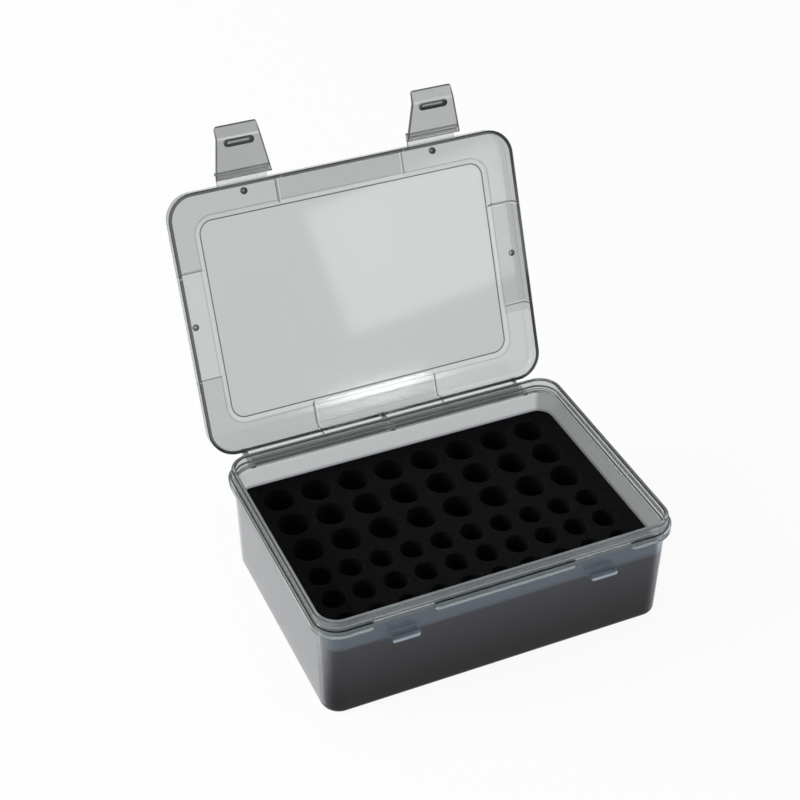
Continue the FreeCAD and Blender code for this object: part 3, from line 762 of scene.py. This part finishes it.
def ringEdges(mesh, ring):
    edges = []
    for index in range(len(ring)):
        pair = (ring[index], ring[(index + 1) % len(ring)])
        edges.append(mesh.edges.get(pair) or mesh.edges.new(pair))
    return edges


def foamSlab(name, corners, look, pockets=(), lean=0.0):
    # every upper and lower edge is softly rounded, the pockets go right through
    low, high = corners
    levels = roundedLevels(low.z, high.z, look["rimRound"], look["rimSteps"])
    mesh = bmesh.new()
    bottomEdges, topEdges = [], []

    def outerOutline(z, back):
        shrink = lean * (high.z - z) + back
        return roundedOutline(high.x - shrink, high.y - shrink, look["cornerRadius"] - back,
                              look["cornerSteps"])

    def sideRings(outlineAt, inward):
        rings = [addRing(mesh, outlineAt(z, back), z) for z, back in levels]
        for lower, upper in zip(rings, rings[1:]):
            joinRings(mesh, lower, upper, inward)
        bottomEdges.extend(ringEdges(mesh, rings[0]))
        topEdges.extend(ringEdges(mesh, rings[-1]))

    sideRings(outerOutline, False)
    for centre, radius in pockets:
        sideRings(lambda z, back: circleOutline(centre, radius + back, look["pocketSides"]), True)
    for edges, upward in ((topEdges, True), (bottomEdges, False)):
        filled = bmesh.ops.triangle_fill(mesh, edges=edges, use_beauty=True, use_dissolve=False)
        for face in filled["geom"]:
            if isinstance(face, bmesh.types.BMFace) and (face.normal.z > 0) != upward:
                face.normal_flip()
    data = bpy.data.meshes.new(name)
    mesh.to_mesh(data)
    mesh.free()
    for polygon in data.polygons:
        polygon.use_smooth = abs(polygon.normal.z) < look["flatNormal"]
    piece = bpy.data.objects.new(name, data)
    bpy.context.scene.collection.objects.link(piece)
    return piece


pockets = []
for kind in (foamInsert["wide"], foamInsert["slim"]):
    pockets += [(centre, kind["diameter"] / 2) for centre in pocketCentres(kind)]
foamBlock = foamSlab("foamBlock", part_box("foam_block"), foamInsert, pockets, foamInsert["sideLean"])
foamPad = foamSlab("foamPad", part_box("foam_pad"), foamInsert)
for piece, node in ((foamBlock, "foam_block"), (foamPad, "foam_pad")):
    piece.data.materials.append(foamMaterial)
    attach(piece, "case")
    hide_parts(node)
print("foam insert built:", len(pockets), "pockets")


# camera

view = {
    "turn": -23.98,                # degrees round the object, 0 looks along +Y
    "lift": 36.72,                 # degrees above the horizon
    "roll": -0.20,
    "place": (-0.27116, -0.55641, 0.57060),
    "focalPixels": 1741.1,
    "imagePixels": 800,
    "sensorWidth": 36.0,           # mm
    "clip": (0.01, 50.0),
}


def makeCamera(look):
    turn = math.radians(look["turn"])
    lift = math.radians(look["lift"])
    back = Vector((math.sin(turn) * math.cos(lift), -math.cos(turn) * math.cos(lift), math.sin(lift)))
    right = (-back).cross(Vector((0, 0, 1))).normalized()
    up = right.cross(-back)
    basis = Matrix((right, up, back)).transposed()
    data = bpy.data.cameras.new("camera")
    data.sensor_width = look["sensorWidth"]
    data.lens = look["sensorWidth"] * look["focalPixels"] / look["imagePixels"]
    data.clip_start, data.clip_end = look["clip"]
    camera = bpy.data.objects.new("camera", data)
    rolled = basis @ Matrix.Rotation(-math.radians(look["roll"]), 3, "Z")
    camera.matrix_world = Matrix.Translation(look["place"]) @ rolled.to_4x4()
    bpy.context.scene.collection.objects.link(camera)
    bpy.context.scene.camera = camera


makeCamera(view)


# floor, world and lamps

studio = {
    "floorHalf": 6.0,
    "floorDrop": 0.05 * mm,
    "floorColour": (0.92, 0.92, 0.92, 1.0),
    "floorRoughness": 0.9,
    "floorSpecular": 0.1,
    "floorGlow": 0.93,             # share of plain white that the camera and reflections see in it
    "white": (1.0, 1.0, 1.0, 1.0),
    "skyLight": 0.45,              # strength of the sky on plain surfaces
    "skySeen": 1.0,                # the same for the camera and in reflections
    "lampColour": (0.93, 0.97, 1.0),
    "lampAim": (0, 0, 0.06),
    "lamps": {
        "keyFromLeft": {"place": (-1.7, 0.5, 0.9), "size": (1.2, 1.2), "power": 38.0, "roll": 0},
        "patchInFront": {"place": (0.715, -1.63, 0.432), "size": (0.32, 0.21), "power": 0.42, "roll": 4},
        "stripInFront": {"place": (0.602, -1.714, 0.203), "size": (0.16, 0.045), "power": 0.8, "roll": 0},
    },
}


def whiteRays(tree):
    # one where a ray comes from the camera, or off glossy or clear surfaces
    path = addNode(tree, "ShaderNodeLightPath")
    return strongest(tree, path.outputs["Is Camera Ray"], path.outputs["Is Glossy Ray"],
                     path.outputs["Is Transmission Ray"])


def makeFloor(look):
    half, level = look["floorHalf"], -look["floorDrop"]
    corners = ((-half, -half), (half, -half), (half, half), (-half, half))
    data = bpy.data.meshes.new("floor")
    data.from_pydata([(x, y, level) for x, y in corners], [], [(0, 1, 2, 3)])
    floor = bpy.data.objects.new("floor", data)
    bpy.context.scene.collection.objects.link(floor)
    material, tree, output = emptyTree("paleFloor")
    shader = addNode(tree, "ShaderNodeBsdfPrincipled",
                     {"Base Color": look["floorColour"], "Roughness": look["floorRoughness"],
                      "Specular IOR Level": look["floorSpecular"]})
    glow = addNode(tree, "ShaderNodeEmission", {"Color": look["white"], "Strength": 1.0})
    mix = addNode(tree, "ShaderNodeMixShader")
    link = tree.links.new
    link(together(tree, whiteRays(tree), look["floorGlow"]), mix.inputs["Fac"])
    link(shader.outputs["BSDF"], mix.inputs[1])
    link(glow.outputs["Emission"], mix.inputs[2])
    link(mix.outputs["Shader"], output.inputs["Surface"])
    data.materials.append(material)


def makeWorld(look):
    world = bpy.data.worlds.new("studio")
    world.use_nodes = True
    tree = world.node_tree
    background = tree.nodes["Background"]
    strength = rangeNode(tree, whiteRays(tree), 0.0, 1.0, look["skyLight"], look["skySeen"], smooth=False)
    tree.links.new(strength, background.inputs["Strength"])
    background.inputs["Color"].default_value = look["white"]
    bpy.context.scene.world = world


def makeLamps(look):
    for name, lamp in look["lamps"].items():
        data = bpy.data.lights.new(name, "AREA")
        data.shape = "RECTANGLE"
        data.size, data.size_y = lamp["size"]
        data.energy = lamp["power"]
        data.color = look["lampColour"]
        lampObject = bpy.data.objects.new(name, data)
        lampObject.location = lamp["place"]
        aim = Vector(look["lampAim"]) - Vector(lamp["place"])
        roll = Quaternion((0, 0, 1), math.radians(lamp["roll"]))
        lampObject.rotation_mode = "QUATERNION"
        lampObject.rotation_quaternion = aim.to_track_quat("-Z", "Y") @ roll
        bpy.context.scene.collection.objects.link(lampObject)


makeFloor(studio)
makeWorld(studio)
makeLamps(studio)
bpy.context.scene.view_settings.view_transform = "Standard"
print("studio set")
